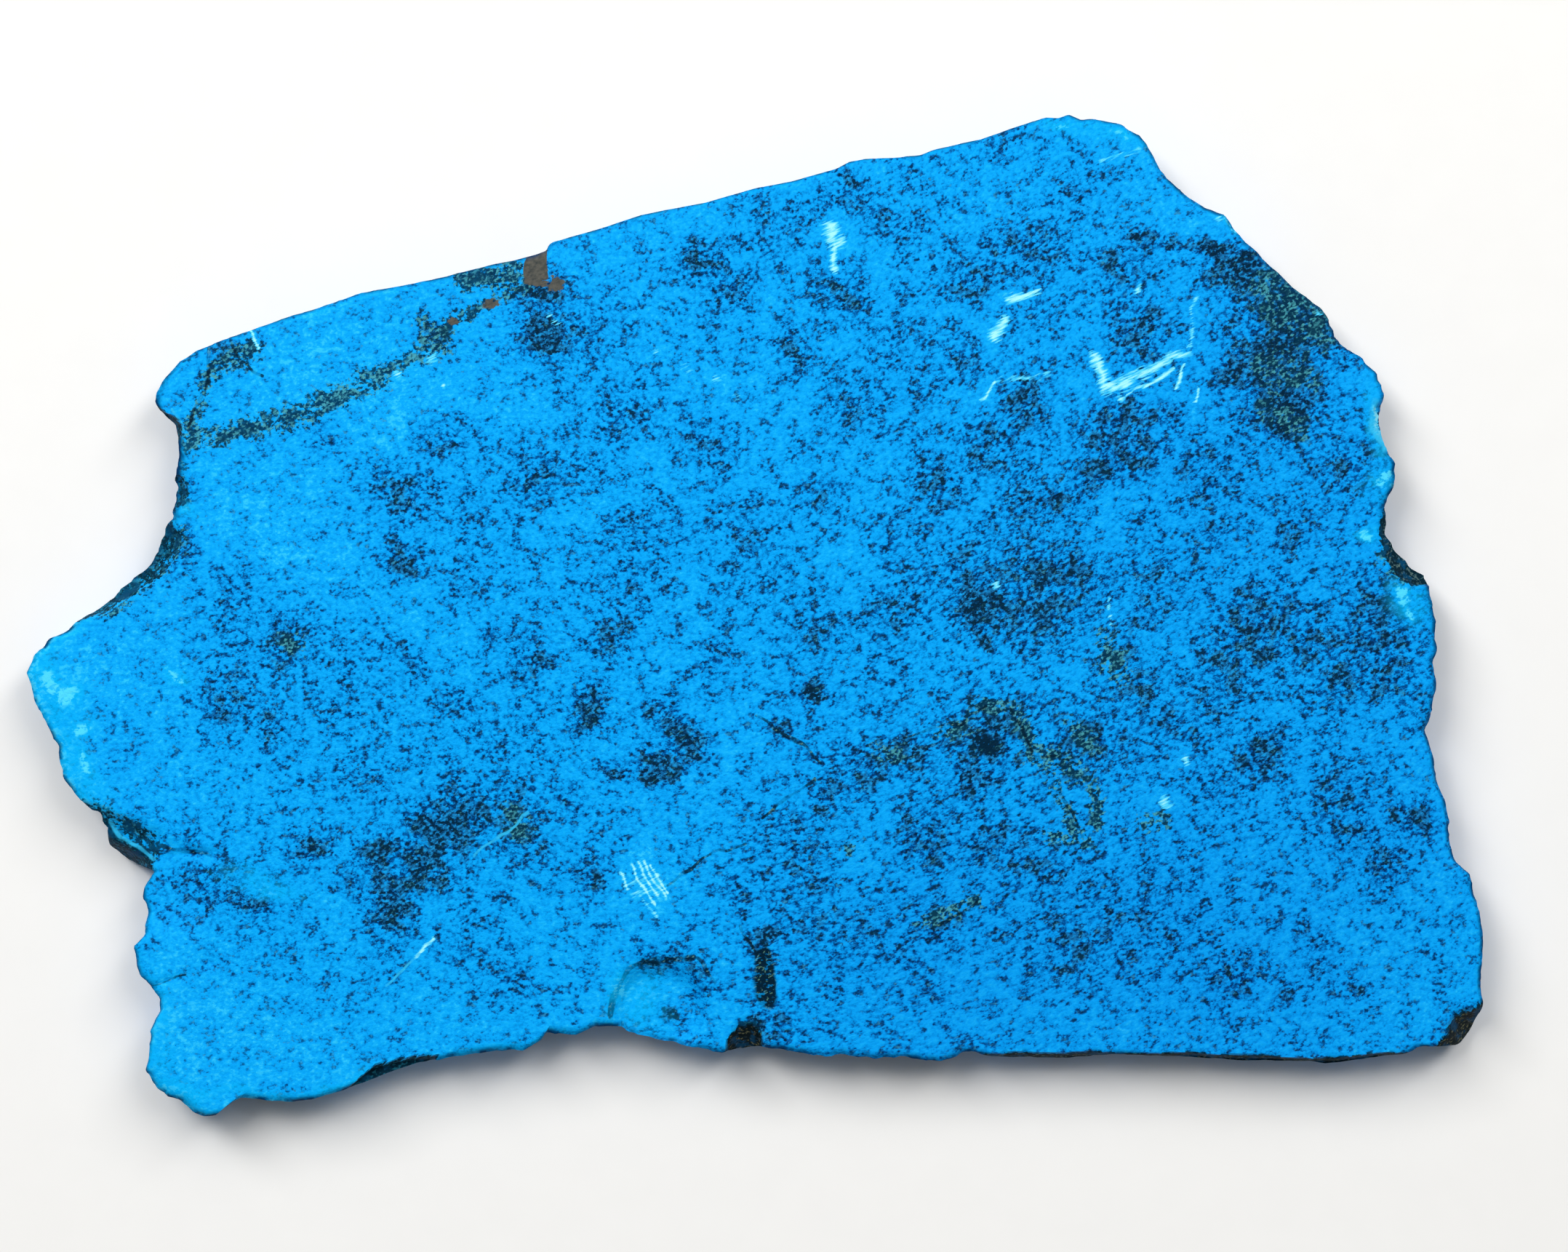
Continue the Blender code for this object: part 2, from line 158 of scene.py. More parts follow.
# Clouds of dark specks: x, y, radius and density.
SPECKLE_CLOUDS = [
    (315, 490, 34, 0.6), (440, 615, 30, 0.7), (545, 680, 46, 0.7), (612, 608, 38, 0.7),
    (738, 655, 40, 0.8), (551, 769, 28, 0.95), (632, 795, 30, 0.6), (819, 639, 30, 0.55),
    (855, 560, 45, 0.5), (790, 458, 60, 0.55), (868, 720, 50, 0.55), (864, 808, 50, 0.5),
    (250, 682, 24, 0.7), (243, 760, 30, 0.7), (333, 835, 60, 0.6), (385, 880, 46, 0.75),
    (310, 962, 46, 0.7), (370, 992, 22, 0.75), (692, 880, 26, 0.7), (724, 912, 26, 0.8),
    (847, 876, 28, 0.65), (566, 910, 28, 0.6), (615, 954, 22, 0.5), (432, 1166, 28, 1.15),
    (520, 1178, 32, 1.3), (602, 1146, 44, 1.25), (646, 1114, 34, 1.1), (704, 1112, 34, 0.75),
    (720, 1150, 26, 0.7), (536, 1245, 42, 1.15), (578, 1204, 34, 1.15), (477, 1213, 20, 0.7),
    (414, 1231, 16, 0.6), (358, 1250, 34, 0.8), (816, 1208, 26, 0.8), (865, 1133, 20, 0.5),
    (780, 1101, 20, 0.6), (962, 366, 32, 1.0), (1000, 402, 34, 0.65), (1060, 300, 50, 0.45),
    (1166, 268, 28, 0.8), (1200, 296, 34, 0.8), (1240, 306, 28, 0.7), (1246, 233, 16, 0.7),
    (1158, 408, 36, 0.75), (1086, 480, 24, 0.8), (1338, 384, 36, 0.75), (1380, 346, 32, 0.8),
    (1420, 338, 40, 0.7), (1246, 396, 20, 0.6), (970, 604, 28, 0.7), (1401, 556, 34, 0.9),
    (1349, 610, 42, 0.75), (1294, 666, 36, 0.75), (1318, 480, 30, 0.55), (1179, 565, 40, 0.45),
    (1224, 592, 20, 0.5), (1380, 195, 30, 0.5), (1144, 672, 25, 0.5), (1575, 455, 44, 0.9),
    (1546, 369, 45, 0.7), (1548, 600, 48, 0.95), (1520, 636, 28, 0.9), (1600, 565, 18, 0.9),
    (1492, 660, 24, 0.7), (1679, 373, 30, 0.8), (983, 917, 26, 0.8), (1122, 949, 20, 0.9),
    (1072, 1010, 20, 0.6), (1354, 1010, 50, 0.9), (1345, 1076, 36, 0.95), (1430, 842, 48, 0.95),
    (1440, 790, 44, 0.9), (1492, 798, 24, 0.8), (1461, 690, 26, 0.8), (854, 877, 22, 0.5),
    (1236, 1038, 32, 0.9), (1179, 1062, 32, 0.85), (1148, 1095, 25, 0.6), (1262, 1146, 40, 0.75),
    (1358, 1148, 30, 0.85), (1730, 866, 60, 0.85), (1790, 882, 50, 0.8), (1888, 838, 50, 0.85),
    (1904, 896, 40, 0.65), (1772, 722, 26, 0.8), (1658, 732, 26, 0.6), (1576, 735, 24, 0.5),
    (1573, 942, 40, 0.75), (1676, 925, 55, 0.65), (1546, 895, 40, 0.6), (1742, 1034, 34, 0.9),
    (1837, 1086, 44, 0.65), (1938, 1126, 26, 1.0), (1868, 1138, 28, 0.9), (1660, 1051, 25, 0.55),
    (1488, 1020, 36, 0.9), (1912, 935, 40, 0.7), (1841, 942, 44, 0.75), (1904, 1190, 26, 0.8),
    (1810, 1306, 34, 0.55), (1696, 1342, 34, 0.7), (1774, 1362, 24, 0.5), (1869, 1362, 20, 0.5),
    (1121, 1264, 30, 0.55), (1009, 1233, 25, 0.5), (1254, 1309, 20, 0.6), (1290, 1345, 20, 0.5),
    (1292, 1268, 38, 0.7), (1160, 1300, 70, 0.4), (1450, 1306, 70, 0.4), (1240, 720, 40, 0.5),
    (1010, 760, 60, 0.45), (940, 720, 40, 0.4), (1110, 860, 50, 0.4), (1230, 850, 50, 0.45),
    (1600, 820, 60, 0.55), (1660, 640, 50, 0.5), (1850, 640, 50, 0.6), (1890, 600, 28, 0.8),
    (1620, 1000, 50, 0.5), (1960, 780, 20, 0.5), (1400, 700, 40, 0.5), (1340, 760, 40, 0.45),
    (1090, 1180, 60, 0.4), (1420, 1200, 60, 0.45), (1560, 1250, 80, 0.35), (700, 760, 40, 0.35),
    (460, 960, 60, 0.4), (480, 1080, 60, 0.35), (700, 1020, 60, 0.4), (300, 1220, 30, 0.5),
    (420, 1330, 60, 0.35), (520, 1330, 50, 0.4), (620, 1300, 50, 0.35), (700, 1330, 40, 0.35),
    (1772, 424, 62, 1.3), (1752, 500, 50, 1.15), (1765, 562, 44, 1.15), (1065, 1405, 26, 0.9),
    # The four clouds on the next line darken the shell chip's arc: partly dark specks, partly painted
    # shade on the chip's upper wall.
    (905, 1330, 24, 1.0), (945, 1332, 22, 0.9), (970, 1356, 16, 0.7), (929, 1399, 12, 0.9),
    (1480, 250, 60, 0.4), (1420, 430, 40, 0.4), (1240, 470, 60, 0.35), (640, 700, 60, 0.3),
]

# Broad parts of the face with fewer or more grains: x, y, radius and the shift in tone.
BROAD_PARTS = [
    (110, 970, 130, -1.2), (420, 480, 130, -0.9), (330, 720, 150, -0.8), (700, 560, 300, -0.25),
    (330, 1420, 150, -1.0), (560, 1400, 140, -0.6), (900, 1385, 70, -0.1), (1520, 230, 100, -0.4),
    (560, 470, 90, -0.4), (1700, 880, 250, 0.2), (1350, 1050, 200, 0.25), (1560, 1300, 300, 0.1),
    (1850, 560, 120, 0.2), (1780, 450, 80, 0.7), (1230, 860, 150, 0.2), (600, 1150, 110, 0.3),
    (330, 880, 130, 0.2), (1430, 640, 130, 0.3), (1650, 1330, 240, 0.05), (240, 1230, 60, 0.5),
]

# Painted shade: the ground darker towards the lower right and right, where the lamps' light falls off: x,
# y, radius and strength.
FALLOFF_SHADE_PARTS = [
    (1650, 1340, 300, 1.0), (1340, 1350, 230, 0.9), (1880, 1150, 200, 0.8), (1860, 850, 160, 0.5),
    (1200, 1150, 200, 0.3), (1730, 680, 300, 0.55),
]

# Nearly black clumps: x, y, half width, half height and turn in degrees.
DARK_CLUMPS = [
    (930, 1004, 38, 20, 52), (898, 1057, 26, 22, 0), (840, 1063, 15, 13, 0), (812, 974, 16, 28, 0),
    (1340, 832, 24, 28, 0), (1354, 886, 11, 11, 0), (590, 458, 22, 15, 0), (742, 452, 26, 26, 0),
    (738, 398, 34, 14, 0), (1568, 322, 14, 8, 20), (1604, 330, 14, 8, 20), (1650, 346, 22, 10, 20),
    (1711, 371, 16, 12, 30), (1755, 596, 14, 12, 0), (1350, 1024, 10, 9, 0), (1050, 1282, 24, 14, 0),
    (1042, 1403, 7, 7, 0), (925, 1399, 8, 6, 0), (1122, 949, 9, 14, -20), (287, 1320, 4, 10, 0),
]

# Olive ground: path and width in pixels.
OLIVE_PATHS = [
    ([(250, 606), (297, 597), (386, 579), (424, 566)], 21), ([(432, 560), (493, 530), (524, 517)], 25),
    ([(520, 517), (566, 494), (623, 443)], 14), ([(623, 443), (725, 389)], 12),
    ([(590, 452), (598, 474)], 26), ([(640, 385), (706, 374)], 24), ([(257, 590), (286, 525)], 11),
    ([(290, 512), (345, 480)], 20), ([(1389, 970), (1412, 1005), (1424, 1040)], 14),
    ([(1424, 1040), (1462, 1048), (1482, 1060)], 19),
    ([(1455, 1068), (1454, 1092), (1470, 1130), (1497, 1160)], 12), ([(1505, 1088), (1510, 1132)], 15),
    ([(1441, 1150), (1467, 1152)], 15), ([(1474, 990), (1500, 1028)], 14),
    ([(1212, 1030), (1236, 1042)], 17), ([(1572, 1130), (1598, 1126)], 15),
    ([(1522, 884), (1538, 925)], 24), ([(1268, 1268), (1342, 1238)], 12), ([(1168, 1166)], 14),
    ([(1290, 1004), (1318, 1004), (1352, 968), (1389, 970)], 14), ([(398, 884)], 24),
    ([(245, 640), (250, 690)], 12), ([(241, 735), (222, 772), (188, 804), (150, 836)], 20),
    ([(1910, 768), (1936, 792)], 20), ([(130, 1104), (200, 1150)], 12),
    ([(1752, 400), (1816, 444)], 46), ([(1738, 500), (1790, 520)], 26),
    ([(1740, 560), (1786, 590)], 22), ([(700, 1112), (716, 1150)], 16),
]

# The square brown inclusion at the upper rim: its left, top, right and bottom.
BROWN_BLOCK = (721, 330, 752, 384)
BROWN_KNOBS = [
    ([(761, 392)], 22), ([(676, 417)], 17), ([(621, 442)], 13), ([(724, 387), (744, 388)], 11),
]

# Paler blue ground: x, y, half width, half height and strength.
PALE_PATCHES = [
    (1146, 335, 16, 40, 0.6), (1404, 406, 28, 13, 0.5), (1371, 455, 20, 20, 0.5),
    (1604, 1104, 18, 15, 0.6), (1632, 1045, 14, 12, 0.6), (75, 930, 42, 46, 0.5),
    (95, 1030, 34, 46, 0.4), (1935, 816, 14, 14, 0.6), (779, 702, 22, 14, 0.45),
    (725, 729, 12, 10, 0.4), (240, 815, 30, 22, 0.5), (236, 845, 24, 22, 0.35), (892, 880, 26, 22, 0.4),
    (890, 1380, 48, 34, 0.64), (1520, 520, 30, 18, 0.4), (230, 1430, 34, 40, 0.45),
    (240, 1487, 34, 20, 0.5), (755, 440, 16, 10, 0.5), (1560, 200, 30, 30, 0.25),
    (420, 690, 60, 50, 0.2), (340, 730, 60, 30, 0.25), (600, 820, 50, 40, 0.2),
    (1000, 1320, 20, 26, 0.3), (1020, 1296, 10, 10, 0.4), (560, 590, 40, 24, 0.3),
    (888, 1212, 34, 34, 0.5),
]

# Thin dark cracks: path and width in pixels.
CRACKS = [
    ([(1041, 984), (1104, 1028), (1126, 1051)], 4), ([(1121, 1069), (1046, 1122)], 4),
    ([(1023, 1158), (983, 1171), (920, 1215)], 4), ([(1246, 1011), (1322, 993), (1354, 970)], 4),
    ([(1389, 970), (1424, 1040), (1470, 1046)], 4), ([(1455, 1080), (1492, 1150)], 4),
    ([(257, 586), (288, 520), (288, 482)], 5), ([(318, 478), (359, 519)], 4),
    ([(207, 1358), (253, 1343)], 3), ([(1290, 1274), (1344, 1242)], 4),
    ([(1076, 1413), (1090, 1411)], 4), ([(224, 1161), (290, 1177)], 5), ([(1906, 706), (1909, 736)], 8),
    # The next two lines draw the shell chip's dark arc: partly a crack, partly painted shade on the
    # chip's upper wall.
    ([(838, 1402), (852, 1352), (866, 1332), (894, 1317), (954, 1316)], 6.5),
    ([(884, 1321), (925, 1320)], 8), ([(958, 1318), (982, 1350)], 5.5),
    ([(1020, 1274), (1036, 1310)], 4), ([(1005, 1440), (1010, 1420), (1030, 1406)], 4),
]

# Wide dark gashes: path and width in pixels.
GASHES = [
    ([(1047, 1316), (1049, 1343), (1055, 1370)], 25),
]

# Pale scratches: path and width in pixels.
SCRATCHES = [
    ([(1504, 488), (1511, 512), (1521, 533)], 12),
    ([(1521, 533), (1532, 532), (1568, 514), (1604, 496)], 14), ([(1604, 496), (1633, 482)], 8),
    ([(1541, 546)], 10), ([(1548, 541), (1612, 511)], 4), ([(1628, 503), (1619, 536)], 5),
    ([(1648, 532), (1645, 550)], 5), ([(1347, 547), (1368, 527)], 5), ([(342, 456), (359, 476)], 5),
    # The second run on the next line, along the right sliver's edge, is painted highlight: white flecks
    # on the edge.
    ([(594, 1294), (572, 1314)], 5), ([(1890, 556), (1893, 590), (1905, 618)], 6),
    ([(1143, 312), (1146, 334)], 19), ([(1146, 334), (1147, 370)], 8), ([(1388, 411), (1422, 402)], 11),
    ([(1366, 462), (1379, 442)], 13), ([(868, 1190), (898, 1244)], 4), ([(878, 1186), (903, 1232)], 5),
    ([(888, 1188), (914, 1232)], 5), ([(898, 1192), (918, 1228)], 4), ([(858, 1202), (866, 1222)], 4),
    ([(593, 492)], 12), ([(545, 516)], 10), ([(606, 530)], 7), ([(1604, 1104)], 15),
    ([(1632, 1045)], 11), ([(1371, 805)], 10), ([(1563, 398)], 9),
]

# Fainter scratches and flecks: path and width in pixels.
FAINT_SCRATCHES = [
    ([(1633, 480), (1644, 409)], 6), ([(1368, 527), (1443, 514)], 6), ([(1512, 221), (1568, 208)], 7),
    ([(880, 1232), (902, 1262)], 5), ([(864, 1216), (904, 1204)], 7), ([(870, 1232), (914, 1218)], 7),
    ([(1524, 819), (1529, 859)], 5), ([(897, 478)], 12), ([(945, 505)], 13), ([(985, 525)], 12),
    ([(1012, 543)], 11), ([(1675, 302)], 11), ([(1693, 317)], 11), ([(1816, 436)], 11),
    ([(752, 434), (762, 444)], 7),
]

# Thin, unbroken light lines: path and width in pixels.
LIGHT_LINES = [
    ([(147, 1131), (164, 1152), (186, 1166), (210, 1183)], 5),
    # The next line runs along the right sliver's edge: a pale line, with painted highlight at its upper
    # end.
    ([(1891, 548), (1887, 566), (1891, 592), (1903, 618)], 9),
    ([(232, 565), (243, 577), (249, 592)], 3), ([(722, 1118), (690, 1146), (648, 1182)], 3.5),
    ([(574, 1312), (529, 1355)], 3.5),
]

# Fresh, brighter blue ground: x, y, half width, half height, turn in degrees and strength.
FRESH_PATCHES = [
    (884, 1386, 30, 30, 0, 0.75), (68, 945, 26, 70, -22, 0.8), (96, 1040, 18, 50, -35, 0.8),
    (215, 1420, 16, 60, 0, 0.7), (240, 1494, 44, 12, 22, 0.9), (330, 1503, 70, 7, 2, 0.8),
    (470, 1490, 70, 7, -18, 0.8), (560, 1458, 50, 6, -12, 0.6), (225, 520, 12, 34, 25, 0.5),
    (1520, 172, 60, 10, 8, 0.5), (1893, 580, 9, 46, -8, 0.9), (1901, 668, 14, 34, 0, 0.9),
    (1940, 826, 20, 24, 0, 0.8), (1935, 816, 11, 10, 0, 1.5), (1941, 839, 7, 7, 0, 1.4),
    (1878, 730, 8, 7, 0, 1.5), (66, 936, 20, 20, 0, 1.45), (86, 960, 20, 12, -28, 1.6),
    (108, 1002, 18, 9, -30, 1.4), (124, 1042, 9, 18, -30, 1.35), (245, 928, 14, 11, 0, 1.3),
    (1901, 650, 8, 14, 0, 1.45), (1912, 676, 7, 14, 0, 1.4), (1892, 668, 6, 9, 0, 1.35),
    (252, 708, 16, 10, -20, 0.9), (365, 1214, 40, 13, 8, 0.95), (1457, 166, 18, 5, 0, 1.1),
    (1548, 180, 20, 5, 20, 1.1), (1690, 305, 5, 16, -35, 1.2), (858, 1362, 12, 20, 0, 1.0),
]

# How far, in pixels, the markings stray from their places.
WANDER_REACH = 26.0
WANDER_CELL = 0.0026
WANDER_SEEDS = (101, 131)
# The ground's darkness, how much it drifts, and how much the clouds of specks add.
BASE_DARKNESS = -1.15
DRIFT = 0.65
DRIFT_CELL = 0.009
DRIFT_SEED = 171
CLOUD_DARKNESS = 4.0
CLOUD_SPREAD = 1.12
# A rim rounded over less than this many pixels keeps its grains.
LEAST_WORN = 8.0
ROCK_CELL = 0.004
ROCK_SEED = 211


def placed(spots):
    """Photograph spots in metres on the slab: the offset from the middle times the size of a pixel."""
    return (np.asarray(spots, float) - MIDDLE_SPOT) * (PIXEL, -PIXEL) + MIDDLE


def spots_of(points):
    """The photograph spot under each point: the reverse of placed."""
    return (points[:, :2] - MIDDLE) / (PIXEL, -PIXEL) + MIDDLE_SPOT


def shown(name, data):
    """A new object that holds the data, linked to the scene."""
    thing = bpy.data.objects.new(name, data)
    bpy.context.scene.collection.objects.link(thing)
    return thing


HUB = placed(HUB_SPOT)


def bearing(points):
    """The angle of the line from the hub, 0 at -Y and plus or minus pi at +Y."""
    away = points[..., :2] - HUB
    return np.arctan2(away[..., 0], -away[..., 1])


def from_hub(points):
    """The distance from the hub: the root of the summed squares."""
    away = points[..., :2] - HUB
    return np.hypot(away[..., 0], away[..., 1])


def eased(share):
    """Three squares less two cubes of the share, held between 0 and 1."""
    share = np.clip(share, 0.0, 1.0)
    return share * share * (3.0 - 2.0 * share)


def stone_noise(points, cell, seed):
    """Random values from -1 to 1 at the corners of cubes, blended between them by the eased share."""
    table = np.random.default_rng(seed).uniform(-1.0, 1.0, (LATTICE, LATTICE, LATTICE))
    scaled = points / cell
    low = np.floor(scaled).astype(int)
    blend = eased(scaled - low)
    total = np.zeros(points.shape[:-1])
    for corner in np.ndindex(2, 2, 2):
        share = np.prod(np.where(corner, blend, 1.0 - blend), axis=-1)
        column, row, layer = np.moveaxis((low + corner) % LATTICE, -1, 0)
        total += share * table[column, row, layer]
    return total


def rough_noise(points, cell, seed, octaves=4):
    """Stone noise summed over octaves, each with half the cell and half the height of the last."""
    return sum(
        stone_noise(points, cell / 2**k, seed + k) / 2**k for k in range(octaves)
    ) / (2.0 - 2.0 ** (1 - octaves))


def path_distance(spots, path):
    """The least distance, in pixels, from each spot to the straight runs of a path."""
    nearest = np.full(len(spots), np.inf)
    path = np.asarray(path, float)
    for start, end in zip(path, path[1:]):
        run = end - start
        along = np.clip((spots - start) @ run / (run @ run), 0.0, 1.0)
        away = spots - start - along[:, None] * run
        nearest = np.minimum(nearest, np.hypot(away[:, 0], away[:, 1]))
    return nearest


def rim_value(points, column):
    """One column of RIM_STATIONS, blended by bearing from station to station."""
    stations = sorted(RIM_STATIONS, key=lambda station: bearing(placed(station[0])))
    turns = [bearing(placed(station[0])) for station in stations]
    return np.interp(bearing(points), turns, [station[column] for station in stations])


def facet_drop(points):
    """Distance past a facet's inner edge times its steepness, the deepest of them, and its darkness."""
    drop = np.zeros(len(points))
    dark = np.zeros(len(points))
    turn = bearing(points)
    for inner_edge, steepness, deepest, darkness in FACETS.values():
        edge = placed(inner_edge)
        edge = edge[np.argsort(bearing(edge))]
        start = np.interp(turn, bearing(edge), from_hub(edge), left=np.inf, right=np.inf)
        past = np.maximum(from_hub(points) - start, 0.0)
        own = np.minimum(past * steepness, deepest)
        dark = np.maximum(dark, darkness * (own > LEAST_BREAK))
        drop = np.maximum(drop, own)
    return drop, dark


# Columns round the rim, rows down the wall, and the rings of the upper face in pixels from the rim.
COLUMNS = 1440
WALL_ROWS = 18
WALL_ROW_POWER = 0.9
RIM_INSETS = (0, 3, 7, 12, 18, 25, 33, 42, 52)
BAND_STEP = 11
FIELD_STEP = 13
BAND_DEPTH = 250
# Further in: while more than this share of the way is left, every how many columns has a point.
FIELD_COLUMNS = ((0.72, 2), (0.36, 4), (0.16, 8), (-1.0, 16))
# The underside's outer rings: every how many columns has a point, and the share of the way out.
UNDER_EDGING = [(1, 0.994), (2, 0.985), (4, 0.97)]
UNDER_START = 0.94
UNDER_RINGS = 28

TOP_SWELL = 0.00014
SWELL_CELL = 0.024
SWELL_SEED = 11
SWELL_ROOM = 0.92
WEAR_CELL = 0.002
WEAR_SEED = 91
UNDERCUT = 0.0008
LEAN_VARIES = 0.7
WALL_LUMPS = 0.0005
LUMP_CELL = 0.0052
LUMP_SEED = 23
LEDGE_DEPTH = 0.00028
LEDGE_CELL = 0.0026
LEDGE_SEED = 37
LOWEST_BELLY = 0.88
JAG_DEPTH = 0.00042
JAG_CELL = 0.0014
JAG_SEED = 51
CRUMB_DEPTH = 0.00022
CRUMB_CELL = 0.0009
CRUMB_SEED = 67
# The least depth that counts as a break, and the depth at which a break has all its crumbs.
LEAST_BREAK = 0.00004
CRUMBS_FULL = 0.0006
# How much wider and deeper the wall's crumbs are, and how far down they reach.
WALL_CRUMB_WIDER = 2.2
WALL_CRUMB_DEEPER = 1.6
LOWEST_CRUMB = 0.97

# Shallow grooves: path, width in pixels and depth.
GROOVES = [
    ([(224, 1161), (253, 1168), (290, 1177)], 9, 0.0003),
    ([(207, 1358), (226, 1350), (253, 1343)], 7, 0.0002), ([(287, 1314), (289, 1326)], 8, 0.0003),
    ([(1052, 1309), (1060, 1380)], 12, 0.00012),
]
# The low block at the lower left: its depth, its right side, top and bottom, and their fades.
SUNK_LEFT_DEPTH = 0.00035
SUNK_LEFT_SIDES = (300, 1168, 1300)
SUNK_LEFT_FADES = (34, 7, 60)
# How broken the sawn underside looks, where the wall is one.
SAWN_SHARE = 0.6
NOT_AT_RIM = 999.0
HUB_INSET = 0.03


def rim_line():
    """The slab's edge, from OUTLINE, at COLUMNS equal steps, pulled towards the hub by small ragged
    bites.
    """
    corners = placed(OUTLINE + OUTLINE[:1])
    travelled = np.concatenate([[0.0], np.cumsum(np.hypot(*np.diff(corners, axis=0).T))])
    steps = np.arange(COLUMNS) * travelled[-1] / COLUMNS
    rim = np.stack([np.interp(steps, travelled, axis) for axis in corners.T], axis=-1)
    flat = np.column_stack([rim, np.zeros(COLUMNS)])
    bite = np.abs(rough_noise(flat, JAG_CELL, JAG_SEED, 3)) * rim_value(rim, RAGGED) * JAG_DEPTH
    return rim - (rim - HUB) / from_hub(rim)[:, None] * bite[:, None]


def shell_drop(spots):
    """The shell-shaped chip: the eased share from its edge inwards, with fine ripples."""
    away = (spots - SHELL_SPOT) / SHELL_REACH
    inside = 1.0 - np.hypot(away[:, 0], away[:, 1])
    ripple = 1.0 + SHELL_RIPPLE * np.sin(inside * SHELL_RIPPLES)
    return SHELL_DEPTH * eased(inside / SHELL_WALL) * ripple


def sunk_left_drop(spots):
    """The low block's depth times the eased shares inside its three sides."""
    right, top, bottom = SUNK_LEFT_SIDES
    depths = np.stack([right - spots[:, 0], spots[:, 1] - top, bottom - spots[:, 1]], axis=-1)
    across, below, above = eased(depths / SUNK_LEFT_FADES).T
    return SUNK_LEFT_DEPTH * across * below * above


def top_height(points, inset):
    """Thickness plus a low swell, less the deepest chip, the worn rim, the grooves and the crumbs."""
    flat = np.column_stack([points, np.zeros(len(points))])
    spots = spots_of(points)
    swell = TOP_SWELL * stone_noise(flat, SWELL_CELL, SWELL_SEED)
    facets, dark = facet_drop(points)
    crumbs = CRUMB_DEPTH * (0.5 + 0.5 * rough_noise(flat, CRUMB_CELL, CRUMB_SEED, 3))
    facets = facets + crumbs * eased(facets / CRUMBS_FULL)
    share = np.clip(1.0 - inset / (rim_value(points, ROUNDING) * PIXEL), 0.0, 1.0)
    uneven = 0.8 + 0.5 * stone_noise(flat, WEAR_CELL, WEAR_SEED)
    worn = rim_value(points, DROP) * share**2 * uneven
    drop = np.maximum.reduce([facets, worn, shell_drop(spots)])
    for path, width, depth in GROOVES:
        drop = drop + depth * eased(1.0 - path_distance(spots, path) / width)
    drop = drop + sunk_left_drop(spots)
    return slab_low[2] + THICKNESS - TOP_SWELL * SWELL_ROOM + swell - drop, dark


def wall_inset(spots, down, rim_height):
    """How far the wall lies in from the rim: a lean, round lumps, square ledges and fine crumbs."""
    lumps = stone_noise(spots, LUMP_CELL, LUMP_SEED)
    ledges = np.sign(stone_noise(spots, LEDGE_CELL, LEDGE_SEED))
    crumbs = 0.5 + 0.5 * rough_noise(spots, CRUMB_CELL * WALL_CRUMB_WIDER, CRUMB_SEED, 4)
    lean = UNDERCUT * eased(down) * (1.0 + LEAN_VARIES * lumps)
    hollow = WALL_LUMPS * (1.0 + lumps) + LEDGE_DEPTH * (1.0 + ledges)
    belly = np.sin(np.pi * min(down, LOWEST_BELLY)) * hollow
    fading = np.sin(np.pi * min(down, LOWEST_CRUMB)) ** 0.5
    fine = CRUMB_DEPTH * WALL_CRUMB_DEEPER * crumbs * fading
    return (lean + belly + fine) * rim_height / THICKNESS


def top_shares(reach):
    """Each ring of the upper face from the rim inwards: its column step and its share of the reach."""
    depths = [(1, inset) for inset in RIM_INSETS]
    inset = RIM_INSETS[-1]
    while inset + BAND_STEP < BAND_DEPTH:
        inset += BAND_STEP
        depths.append((2, inset))
    shares = [(every, 1.0 - inset * PIXEL / reach) for every, inset in depths]
    least = shares[-1][1]
    inner = int((reach.max() / PIXEL - BAND_DEPTH) / FIELD_STEP)
    for k in range(1, inner):
        left = 1.0 - k / inner
        every = next(step for share, step in FIELD_COLUMNS if left > share)
        shares.append((every, least * left))
    return shares


def slab_rings():
    """The rings of the upper face with their darkness, those down the wall and the underside's."""
    rim = rim_line()
    reach = from_hub(rim)
    out = (rim - HUB) / reach[:, None]
    top, dark = [], []
    for every, share in top_shares(reach):
        points = (HUB + out * (reach * share)[:, None])[::every]
        height, darkness = top_height(points, (reach * (1.0 - share))[::every])
        top.append(np.column_stack([points, height]))
        dark.append(darkness)
    wall = []
    edge = top[0]
    for k in range(1, WALL_ROWS + 1):
        down = (k / WALL_ROWS) ** WALL_ROW_POWER
        height = slab_low[2] + (edge[:, 2] - slab_low[2]) * (1.0 - down)
        spots = np.column_stack([edge[:, :2], height])
        inset = wall_inset(spots, down, edge[:, 2] - slab_low[2])
        wall.append(np.column_stack([edge[:, :2] - out * inset[:, None], height]))
    foot = wall[-1]
    under = []
    field = [(8, UNDER_START * (1.0 - k / UNDER_RINGS)) for k in range(UNDER_RINGS)]
    for every, share in UNDER_EDGING + field:
        points = HUB + (foot[:, :2] - HUB) * share
        under.append(np.column_stack([points, np.full(COLUMNS, slab_low[2])])[::every])
    return top, dark, wall, under


def ring_faces(outer, inner, outer_start, inner_start):
    """Corners of the faces between two rings of equal columns, or where the inner has half as many."""
    step = outer // inner
    i = np.arange(inner)
    j = (i + 1) % inner
    a, b = inner_start + i, inner_start + j
    first = outer_start + i * step
    last = outer_start + (i * step + step) % outer
    if step == 1:
        return [np.stack([first, last, b, a], axis=-1)]
    between = outer_start + i * step + 1
    made = [first, between, a], [between, b, a], [between, last, b]
    return [np.stack(face, axis=-1) for face in made]


def bell(spots, x, y, radius):
    """One in the middle and half at the radius: e to minus 0.7 times the squared distance."""
    away = np.hypot(spots[:, 0] - x, spots[:, 1] - y) / radius
    return np.exp(-0.7 * away * away)


def cloud_field(spots):
    """The strongest of the round clouds at each spot: density times a bell of distance over radius."""
    field = np.zeros(len(spots))
    for x, y, radius, density in SPECKLE_CLOUDS:
        away = np.hypot(spots[:, 0] - x, spots[:, 1] - y) / (radius * CLOUD_SPREAD)
        field = np.maximum(field, density * np.exp(-away * away))
    return field


